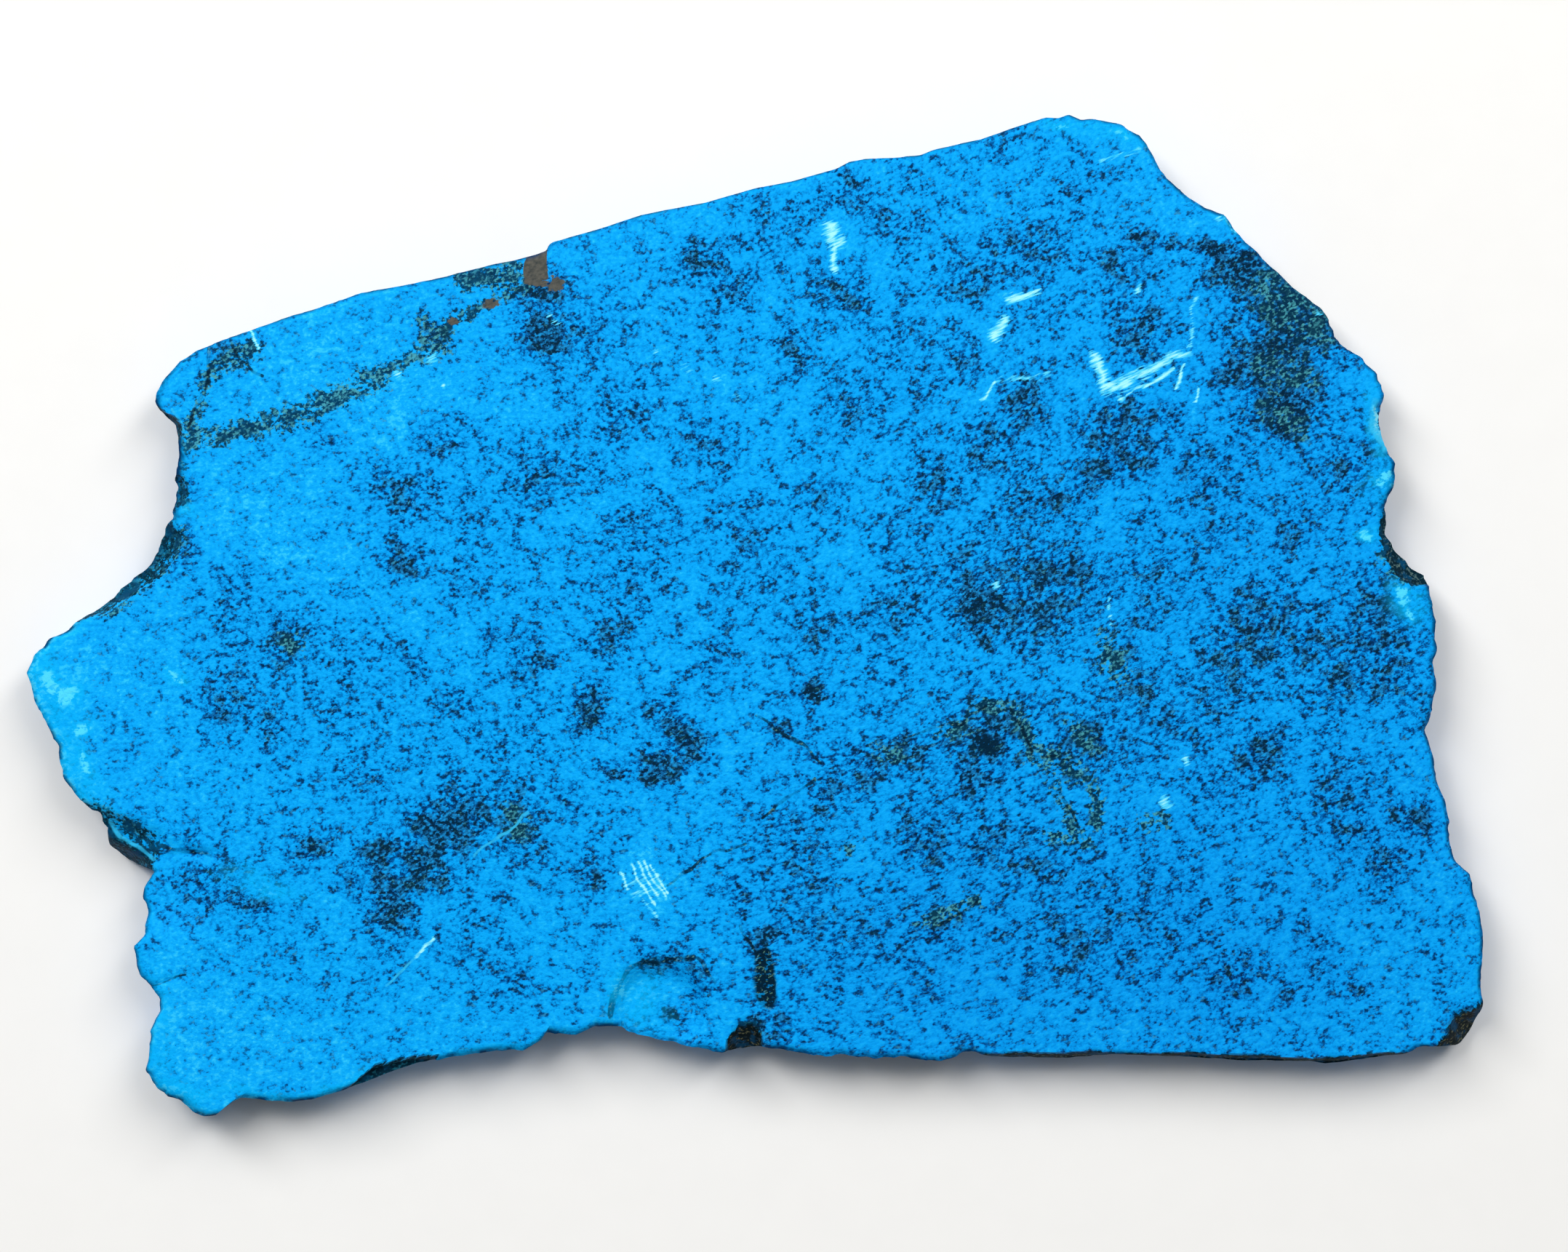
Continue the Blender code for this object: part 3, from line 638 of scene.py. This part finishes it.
def oval_field(spots, ovals):
    """The strongest of the turned ovals: one inside, falling to nothing at 2.1 of its half widths."""
    field = np.zeros(len(spots))
    for x, y, wide, high, turn, strength in ovals:
        angle = math.radians(turn)
        dx, dy = spots[:, 0] - x, spots[:, 1] - y
        along = (dx * math.cos(angle) + dy * math.sin(angle)) / wide
        across = (-dx * math.sin(angle) + dy * math.cos(angle)) / high
        field = np.maximum(field, strength * eased((2.1 - np.hypot(along, across)) / 1.8))
    return field


def marking_fields(points, dark, on_wall, inset):
    """The slow parts of the markings at each point, which the material breaks up into grains."""
    here = spots_of(points)
    wander = [rough_noise(points, WANDER_CELL, seed, 3) * WANDER_REACH for seed in WANDER_SEEDS]
    spots = here + np.stack(wander, axis=-1)
    darkness = DRIFT * rough_noise(points, DRIFT_CELL, DRIFT_SEED, 4) + BASE_DARKNESS
    for x, y, radius, shift in BROAD_PARTS:
        darkness = darkness + shift * bell(spots, x, y, radius)
    darkness = darkness + CLOUD_DARKNESS * cloud_field(spots)
    falloff_shade = np.zeros(len(points))
    for x, y, radius, strength in FALLOFF_SHADE_PARTS:
        falloff_shade = np.maximum(falloff_shade, strength * bell(spots, x, y, radius))
    olive = np.zeros(len(points))
    for path, width in OLIVE_PATHS:
        run = path if len(path) > 1 else path + [(path[0][0] + 1, path[0][1])]
        olive = np.maximum(olive, eased(1.25 - path_distance(here, run) / width))
    clump = oval_field(spots, [oval + (1.0,) for oval in DARK_CLUMPS])
    pale = oval_field(spots, [oval[:4] + (0,) + oval[4:] for oval in PALE_PATCHES])
    width = rim_value(points, ROUNDING)
    worn = eased(1.0 - inset / (width * 1.5)) * eased((width - LEAST_WORN) / LEAST_WORN)
    worn = np.maximum(worn, oval_field(spots, FRESH_PATCHES)) * (1.0 - on_wall)
    rock = 0.45 + 0.5 * rough_noise(points, ROCK_CELL, ROCK_SEED, 3)
    return {
        "darkness": darkness,
        "falloff_shade": falloff_shade,
        "upper_face": np.where(on_wall > 0.0, 0.0, 1.0),
        "clump": clump * (1.0 - on_wall),
        "olive": olive * (1.0 - 0.5 * on_wall),
        "pale": pale * (1.0 - on_wall),
        "worn": worn,
        "broken": np.clip(np.maximum(dark, on_wall * rock), 0, 1),
        # Painted shade: a dark line along the rounded rim, narrow along the upper edge, which faces the
        # lamps.
        "painted_rim_shade": eased(1.2 - inset / rim_value(points, PAINTED_SHADE_LINE)),
    }


def skin_faces(rings, starts):
    """The faces between each two rings, then the fans that close the middle of both sides."""
    quads, corners = [], []
    for k, (first, second) in enumerate(zip(rings, rings[1:])):
        if len(first) <= len(second):
            made = ring_faces(len(second), len(first), starts[k + 1], starts[k])
        else:
            made = ring_faces(len(first), len(second), starts[k], starts[k + 1])
            made = [faces[:, ::-1] for faces in made]
        for faces in made:
            (quads if faces.shape[1] == 4 else corners).append(faces)
    total, begin = starts[-1], starts[-2]
    first, last = len(rings[0]), len(rings[-1])
    i = np.arange(first)
    corners.append(np.stack([np.full(first, total), i, (i + 1) % first], axis=-1))
    i = np.arange(last)
    corners.append(
        np.stack([begin + (i + 1) % last, begin + i, np.full(last, total + 1)], axis=-1)
    )
    return np.concatenate(quads)[:, ::-1].tolist() + np.concatenate(corners)[:, ::-1].tolist()


def slab_piece():
    """One closed skin of rings: out across the top, down the wall and in across the underside."""
    top, dark, wall, under = slab_rings()
    rings = list(reversed(top)) + wall + under
    starts = np.concatenate([[0], np.cumsum([len(ring) for ring in rings])])
    height = top_height(HUB[None], np.full(1, HUB_INSET))[0][0]
    points = np.concatenate(rings + [[[*HUB, height], [*HUB, slab_low[2]]]])
    points = np.clip(points, slab_low, slab_high)
    top_end, wall_end, total = starts[len(top)], starts[len(top) + len(wall)], starts[-1]
    darkness = np.zeros(len(points))
    darkness[:top_end] = np.concatenate(list(reversed(dark)))
    on_wall = np.zeros(len(points))
    on_wall[top_end:wall_end] = 1.0
    on_wall[wall_end:total] = SAWN_SHARE
    on_wall[total + 1] = SAWN_SHARE
    inset = np.full(len(points), NOT_AT_RIM)
    for k, rim_inset in enumerate(RIM_INSETS):
        own = len(top) - 1 - k
        inset[starts[own] : starts[own + 1]] = rim_inset
    mesh = bpy.data.meshes.new("turquoise_slab")
    mesh.from_pydata(points.tolist(), [], skin_faces(rings, starts))
    for name, values in marking_fields(points, darkness, on_wall, inset).items():
        layer = mesh.attributes.new(name, "FLOAT", "POINT")
        layer.data.foreach_set("value", values.astype(np.float32))
    mesh.shade_smooth()
    mesh.set_sharp_from_angle(angle=math.radians(40))
    return shown("turquoise_slab", mesh)


class Bench:
    """A node tree on which a material is wired, with short calls for its usual nodes."""

    def __init__(self, tree):
        self.tree = tree

    def add(self, kind, inputs=None, **settings):
        node = self.tree.nodes.new(kind)
        for name, value in settings.items():
            setattr(node, name, value)
        for socket, value in (inputs or {}).items():
            self.feed(node.inputs[socket], value)
        return node

    def feed(self, socket, value):
        if isinstance(value, bpy.types.NodeSocket):
            self.tree.links.new(value, socket)
        else:
            socket.default_value = value

    def sum(self, operation, *values):
        node = self.add("ShaderNodeMath", operation=operation)
        for socket, value in zip(node.inputs, values):
            self.feed(socket, value)
        return node.outputs[0]

    def times(self, first, second):
        return self.sum("MULTIPLY", first, second)

    def scaled(self, value, factor, plus):
        return self.sum("MULTIPLY_ADD", value, factor, plus)

    def ramp(self, value, start, end, low=0.0, high=1.0):
        node = self.add("ShaderNodeMapRange", interpolation_type="SMOOTHSTEP")
        for socket, number in zip(node.inputs, (value, start, end, low, high)):
            self.feed(socket, number)
        return node.outputs[0]

    def blend(self, share, first, second, kind="MIX"):
        node = self.add("ShaderNodeMix", data_type="RGBA", blend_type=kind)
        self.feed(node.inputs[0], share)
        self.feed(node.inputs[6], first)
        self.feed(node.inputs[7], second)
        return node.outputs[2]

    def noise(self, place, cell, detail, roughness):
        node = self.add(
            "ShaderNodeTexNoise",
            {"Vector": place, "Scale": 1.0 / cell, "Detail": detail, "Roughness": roughness},
        )
        return node.outputs["Fac"]

    def turned(self, place, degrees, stretch):
        angle = math.radians(degrees)
        along = (math.cos(angle) / stretch, math.sin(angle) / stretch, 0.0)
        across = (-math.sin(angle), math.cos(angle), 0.0)
        axes = enumerate((along, across, (0.0, 0.0, 1.0)))
        parts = {k: self.vector("DOT_PRODUCT", place, axis) for k, axis in axes}
        return self.add("ShaderNodeCombineXYZ", parts).outputs[0]

    def vector(self, operation, first, second):
        node = self.add("ShaderNodeVectorMath", operation=operation)
        self.feed(node.inputs[0], first)
        self.feed(node.inputs["Scale" if operation == "SCALE" else 1], second)
        one_number = operation in ("DOT_PRODUCT", "DISTANCE")
        return node.outputs["Value" if one_number else "Vector"]

    def field(self, name):
        return self.add("ShaderNodeAttribute", attribute_name=name).outputs["Fac"]


# How much lighter than a plain print the room's light shows a surface.
ROOM_LIGHT = 1.1


def colour(red, green, blue):
    """A photograph colour from 0 to 255 as linear light, less what the room's light adds."""
    shares = np.array([red, green, blue]) / 255.0
    linear = np.where(shares <= 0.04045, shares / 12.92, ((shares + 0.055) / 1.055) ** 2.4)
    return (*(linear / ROOM_LIGHT).tolist(), 1.0)


# The stone's colours from its palest flecks to its blackest grains, by tone.
TONES = [
    (-5.2, (46, 196, 254)), (-3.8, (18, 178, 252)), (-2.6, (8, 170, 250)), (-1.5, (5, 164, 248)),
    (-0.5, (3, 153, 236)), (0.3, (3, 140, 220)), (1.05, (1, 120, 196)), (1.65, (0, 101, 176)),
    (2.3, (0, 84, 154)), (3.0, (0, 69, 131)), (3.6, (0, 56, 108)), (4.4, (0, 42, 82)),
    (5.6, (1, 26, 46)),
]

# What the ground's colour is multiplied by in that painted shade.
FALLOFF_SHADE_TINT = (0.9, 0.85, 0.93, 1.0)
BLOCK_EDGE = 0.00012
# A stroke fades out at this share of its width, its reach. No spot counts as further off than this.
STROKE_REACH = 0.9
STROKE_FAR = 9.0
FAINTNESS = 0.46

# Sizes of the stone's patterns, and how far the strokes' edges are shaken.
SLOW_CELL = 0.0065
MIDDLING_CELL = 0.0015
GRAIN_CELL = 0.00042
FLECK_CELL = 0.00024
STREAK_CELL = 0.00016
WOBBLE_CELL = 0.0024
WOBBLE_REACH = 0.0013
# From and to where the grain's slant turns, along the slab.
SLANT_TURNS = (-0.03, 0.04)


def draw_strokes(bench, place, strokes):
    """One on each straight run of the paths, falling evenly to nothing at a set share of the width."""
    nearest = STROKE_FAR
    for path, width in strokes:
        corners = placed(path)
        reach = width * PIXEL * STROKE_REACH
        if len(corners) == 1:
            away = bench.vector("DISTANCE", place, (*corners[0], 0.0))
            nearest = bench.sum("MINIMUM", bench.times(away, 1 / reach), nearest)
        for start, end in zip(corners, corners[1:]):
            run = end - start
            slope = run / (run @ run)
            along = bench.vector("DOT_PRODUCT", place, (*slope, 0.0))
            along = bench.sum("ADD", along, -float(start @ slope))
            along.node.use_clamp = True
            foot = bench.vector("SCALE", (*run, 0.0), along)
            away = bench.vector("SUBTRACT", place, foot)
            away = bench.vector("DISTANCE", away, (*start, 0.0))
            nearest = bench.sum("MINIMUM", bench.times(away, 1 / reach), nearest)
    return bench.sum("MAXIMUM", bench.sum("SUBTRACT", 1.0, nearest), 0.0)


def brown_block(bench, place):
    """One inside the square inclusion and falling to nothing just outside each of its four sides."""
    left, top, right, bottom = BROWN_BLOCK
    low, high = placed((left, bottom)), placed((right, top))
    split = bench.add("ShaderNodeSeparateXYZ", {0: place})
    share = 1.0
    for axis in (0, 1):
        rising = bench.ramp(split.outputs[axis], low[axis] - BLOCK_EDGE, low[axis] + BLOCK_EDGE)
        falling = bench.ramp(split.outputs[axis], high[axis] + BLOCK_EDGE, high[axis] - BLOCK_EDGE)
        share = bench.times(share, bench.times(rising, falling))
    return share


def tone_ramp(bench, tone):
    """The colour of each tone, from TONES, through a ramp that runs from 0 to 1."""
    lowest, highest = TONES[0][0], TONES[-1][0]
    share = bench.scaled(tone, 1 / (highest - lowest), -lowest / (highest - lowest))
    ramp = bench.add("ShaderNodeValToRGB", {0: share})
    stops = ramp.color_ramp.elements
    for level, shade in TONES[1:-1]:
        stops.new((level - lowest) / (highest - lowest)).color = colour(*shade)
    stops[0].color = colour(*TONES[0][1])
    stops[-1].color = colour(*TONES[-1][1])
    return ramp.outputs["Color"]


class StoneBench(Bench):
    """A bench with the stone's place, plain and shaken, its noises from coarse to fine and its grain."""

    def __init__(self, tree):
        super().__init__(tree)
        self.place = self.add("ShaderNodeTexCoord").outputs["Object"]
        split = self.add("ShaderNodeSeparateXYZ", {0: self.place})
        flat = self.add("ShaderNodeCombineXYZ", {0: split.outputs[0], 1: split.outputs[1]})
        wobble = self.add(
            "ShaderNodeTexNoise", {"Vector": self.place, "Scale": 1.0 / WOBBLE_CELL, "Detail": 1.0}
        )
        centred = self.vector("SUBTRACT", wobble.outputs["Color"], (0.5, 0.5, 0.5))
        self.shaken = self.add(
            "ShaderNodeVectorMath",
            {0: centred, 1: (WOBBLE_REACH, WOBBLE_REACH, 0.0), 2: flat.outputs[0]},
            operation="MULTIPLY_ADD",
        ).outputs["Vector"]
        slanted = {
            0: self.ramp(split.outputs[0], *SLANT_TURNS),
            4: self.turned(self.place, 4, 1.25),
            5: self.turned(self.place, 22, 1.35),
        }
        swirled = self.add("ShaderNodeMix", slanted, data_type="VECTOR").outputs[1]
        self.slow = self.noise(self.place, SLOW_CELL, 3.0, 0.6)
        self.middling = self.noise(self.place, MIDDLING_CELL, 3.0, 0.65)
        self.fine = self.noise(swirled, GRAIN_CELL, 2.5, 0.66)
        self.flecks = self.noise(self.turned(self.place, 30, 1.4), FLECK_CELL, 1.0, 0.5)
        self.grain = self.ramp(self.fine, 0.42, 0.61, -1.45, 2.05)

    def flecked(self, start, end, dark, light):
        return self.blend(self.ramp(self.flecks, start, end), colour(*dark), colour(*light))


def grained_ground(bench):
    """The colour of the tone, the local grain density plus the grains, with painted glints and shade."""
    density = bench.scaled(bench.field("clump"), 4.4, bench.field("darkness"))
    density = bench.scaled(bench.field("olive"), 1.2, density)
    density = bench.scaled(bench.field("pale"), -1.8, density)
    density = bench.sum("ADD", bench.ramp(bench.middling, 0.43, 0.58, -1.05, 1.2), density)
    density = bench.scaled(bench.slow, 3.8, density)
    density = bench.sum("SUBTRACT", density, 1.9)
    crumbs = bench.sum("ADD", bench.scaled(bench.flecks, -7.5, 3.75), bench.grain)
    contrast = bench.ramp(density, -1.8, 1.2, 0.7, 1.08)
    tone = bench.scaled(crumbs, contrast, density)
    # Partly the stone's pale flecks, partly painted highlight: pale glints on the dense grains stand in
    # for its sheen.
    glints = bench.times(bench.ramp(bench.flecks, 0.56, 0.68), bench.ramp(density, 0.3, 2.2))
    tone = bench.scaled(glints, -2.2, tone)
    ground = tone_ramp(bench, tone)
    teal = bench.blend(bench.ramp(tone, 0.8, 4.4), colour(34, 124, 164), colour(4, 46, 72))
    ground = bench.blend(bench.ramp(density, 0.9, 3.0, 0.0, 0.5), ground, teal)
    # Painted shade: multiplied darker towards the lower right and right, where the lamps' light falls
    # off.
    return bench.blend(bench.field("falloff_shade"), ground, FALLOFF_SHADE_TINT, "MULTIPLY")


def olive_veins(bench, ground):
    """Dark olive with light flecks, where its field, the grain and the middling noise add up."""
    share = bench.scaled(bench.grain, 0.35, bench.times(bench.field("olive"), 1.75))
    share = bench.sum("ADD", share, bench.ramp(bench.middling, 0.42, 0.58, -0.5, 0.45))
    olive = bench.flecked(0.46, 0.66, (2, 50, 78), (70, 158, 172))
    olive = bench.blend(bench.ramp(bench.middling, 0.54, 0.64, 0.0, 0.5), olive, colour(12, 66, 88))
    return bench.blend(bench.ramp(share, 0.75, 1.6, 0.0, 0.92), ground, olive)


def brown_inclusion(bench, ground):
    """The square block and its small knobs, with edges crumbled by the flecks."""
    knobs = draw_strokes(bench, bench.shaken, BROWN_KNOBS)
    share = bench.sum("MAXIMUM", brown_block(bench, bench.shaken), knobs)
    share = bench.scaled(bench.flecks, 0.9, bench.sum("SUBTRACT", share, 0.45))
    brown = bench.blend(bench.flecks, colour(40, 52, 56), colour(106, 104, 96))
    return bench.blend(bench.ramp(share, 0.38, 0.52), ground, brown)


def pale_spots(bench, ground):
    """Near white blue in the middle of the pale patches, between the grains."""
    share = bench.scaled(bench.grain, -0.22, bench.times(bench.field("pale"), 1.2))
    return bench.blend(bench.ramp(share, 1.0, 1.35), ground, colour(104, 224, 255))


def cracks_and_gashes(bench, ground):
    """Thin cracks that come and go with the middling noise, with painted shade in the shell chip's arc,
    and gashes full of dark crumbs.
    """
    cracks = bench.ramp(draw_strokes(bench, bench.shaken, CRACKS), 0.25, 0.6)
    cracks = bench.times(cracks, bench.ramp(bench.middling, 0.4, 0.55, 0.3, 0.9))
    gashes = bench.ramp(draw_strokes(bench, bench.shaken, GASHES), 0.2, 0.5)
    gashes = bench.times(gashes, bench.ramp(bench.fine, 0.36, 0.46, 0.5, 1.0))
    share = bench.times(bench.sum("MAXIMUM", cracks, gashes), bench.field("upper_face"))
    return bench.blend(share, ground, bench.flecked(0.58, 0.7, (2, 32, 52), (74, 118, 108)))


def worn_and_shaded_rim(bench, ground):
    """Fresh blue on worn stone, a glow on its brightest patches and painted shade as a dark line along
    the rim.
    """
    fresh = bench.field("worn")
    share = bench.times(fresh, bench.ramp(bench.middling, 0.42, 0.58, 0.35, 0.75))
    ground = bench.blend(share, ground, colour(6, 186, 253))
    glow = bench.scaled(bench.grain, -0.14, fresh)
    ground = bench.blend(bench.ramp(glow, 0.95, 1.4, 0.0, 0.85), ground, colour(84, 222, 255))
    # Painted shade of the rounded rim: a dark line along it.
    line = bench.times(bench.field("painted_rim_shade"), bench.ramp(bench.middling, 0.4, 0.6, 1.0, 0.3))
    return bench.blend(line, ground, colour(0, 54, 100))


def broken_rock(bench, ground):
    """Teal rock where the stone is partly broken and black rock where it is wholly broken."""
    depth = bench.field("broken")
    teal = bench.flecked(0.5, 0.68, (4, 44, 64), (30, 104, 128))
    black = bench.flecked(0.56, 0.7, (8, 28, 34), (108, 110, 84))
    rock = bench.blend(bench.ramp(depth, 0.8, 0.95), teal, black)
    rock = bench.blend(bench.ramp(bench.middling, 0.5, 0.62, 0.0, 0.8), rock, colour(6, 74, 114))
    share = bench.scaled(bench.grain, 0.08, depth)
    share = bench.scaled(bench.middling, 0.9, bench.sum("SUBTRACT", share, 0.45))
    share = bench.times(bench.ramp(share, 0.38, 0.6), bench.ramp(depth, 0.05, 0.2))
    return bench.blend(share, ground, rock)


def scratches_and_lines(bench, ground):
    """Chalky scratches torn by long streaks, and over them the thin light lines; at the right sliver's
    edge they are partly painted highlight.
    """
    streaks = bench.noise(bench.turned(bench.place, 24, 6.0), STREAK_CELL, 1.0, 0.5)
    faint = bench.times(draw_strokes(bench, bench.shaken, FAINT_SCRATCHES), FAINTNESS)
    scratches = bench.sum("MAXIMUM", draw_strokes(bench, bench.shaken, SCRATCHES), faint)
    torn = bench.scaled(streaks, 1.9, bench.sum("SUBTRACT", scratches, 1.12))
    upper_face = bench.field("upper_face")
    share = bench.times(bench.ramp(scratches, 0.02, 0.12), upper_face)
    share = bench.times(bench.ramp(torn, 0.08, 0.4), share)
    chalk = bench.blend(bench.ramp(torn, 0.3, 0.95), colour(64, 206, 255), colour(166, 246, 255))
    ground = bench.blend(share, ground, chalk)
    lines = bench.ramp(draw_strokes(bench, bench.shaken, LIGHT_LINES), 0.15, 0.7)
    lines = bench.times(lines, bench.ramp(bench.middling, 0.4, 0.54, 0.45, 0.9))
    lines = bench.times(lines, upper_face)
    return bench.blend(lines, ground, colour(46, 186, 240))


STONE_LAYERS = [
    olive_veins, brown_inclusion, pale_spots, cracks_and_gashes, worn_and_shaded_rim, broken_rock,
    scratches_and_lines,
]


def turquoise_material():
    """Bright blue stone with dark grains, olive veins, pale scratches and dark broken faces."""
    material = bpy.data.materials.new("turquoise")
    material.use_nodes = True
    bench = StoneBench(material.node_tree)
    surface = material.node_tree.nodes["Principled BSDF"]
    ground = grained_ground(bench)
    for layer in STONE_LAYERS:
        ground = layer(bench, ground)
    surface.inputs["Specular IOR Level"].default_value = 0.02
    bench.feed(surface.inputs["Base Color"], ground)
    bench.feed(surface.inputs["Roughness"], bench.ramp(bench.fine, 0.3, 0.7, 0.42, 0.62))
    raised = bench.times(bench.fine, -1.6)
    bump = bench.add("ShaderNodeBump", {"Strength": 0.5, "Distance": 0.0001, "Height": raised})
    bench.feed(surface.inputs["Normal"], bump.outputs[0])
    return material


FLOOR_SIDE = 3.0
FLOOR_GAP = 0.00002


def floor_piece():
    """A plain pale sheet under the slab, with its grain a little uneven."""
    half = FLOOR_SIDE / 2
    low = slab_low[2] - FLOOR_GAP
    mesh = bpy.data.meshes.new("floor")
    corners = [(-half, -half, low), (half, -half, low), (half, half, low), (-half, half, low)]
    mesh.from_pydata(corners, [], [(0, 1, 2, 3)])
    material = bpy.data.materials.new("pale paper")
    material.use_nodes = True
    bench = Bench(material.node_tree)
    surface = material.node_tree.nodes["Principled BSDF"]
    place = bench.add("ShaderNodeTexCoord").outputs["Object"]
    tone = bench.noise(place, 0.004, 3.0, 0.5)
    paper = bench.blend(tone, (0.82, 0.82, 0.81, 1.0), (0.845, 0.845, 0.835, 1.0))
    bench.feed(surface.inputs["Base Color"], paper)
    surface.inputs["Roughness"].default_value = 0.9
    surface.inputs["Specular IOR Level"].default_value = 0.1
    mesh.materials.append(material)
    return shown("floor", mesh)


LENS = 100.0
SENSOR = 36.0


def aim_camera():
    """Straight down, far enough that the photograph's width at the upper face fills the frame."""
    camera = bpy.data.cameras.new("camera")
    camera.lens = LENS
    camera.sensor_width = SENSOR
    camera.clip_start = 0.01
    camera.clip_end = 20.0
    holder = shown("camera", camera)
    centre = placed([size / 2 for size in PHOTO_SIZE])
    distance = PHOTO_SIZE[0] * PIXEL * LENS / SENSOR
    holder.location = (*centre, slab_high[2] + distance)
    bpy.context.scene.camera = holder


LAMP_TINT = (1.0, 0.985, 0.965)
ROOM_TINT = (0.92, 0.96, 1.0, 1.0)
ROOM_FILL = 0.155


def softbox(name, place, wide, high, watts):
    """A broad lamp that faces the slab."""
    light = bpy.data.lights.new(name, "AREA")
    light.shape = "RECTANGLE"
    light.size = wide
    light.size_y = high
    light.energy = watts
    light.color = LAMP_TINT
    lamp = shown(name, light)
    lamp.location = place
    lamp.rotation_euler = (-lamp.location).to_track_quat("-Z", "Y").to_euler()


def light_room():
    """A broad lamp beyond the long edge, two narrower ones beside it and a weak pale fill."""
    softbox("middle lamp", (0.0, 0.42, 0.68), 0.8, 0.78, 2.5)
    softbox("left lamp", (-0.36, 0.38, 0.66), 0.22, 0.6, 4.6)
    softbox("right lamp", (0.36, 0.38, 0.66), 0.2, 0.6, 2.85)
    world = bpy.data.worlds.new("pale room")
    world.use_nodes = True
    fill = world.node_tree.nodes["Background"]
    fill.inputs["Color"].default_value = ROOM_TINT
    fill.inputs["Strength"].default_value = ROOM_FILL
    bpy.context.scene.world = world
    bpy.context.scene.view_settings.view_transform = "Standard"


slab = slab_piece()
slab.data.materials.append(turquoise_material())
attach(slab, "root")
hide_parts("slab")
floor_piece()
aim_camera()
light_room()
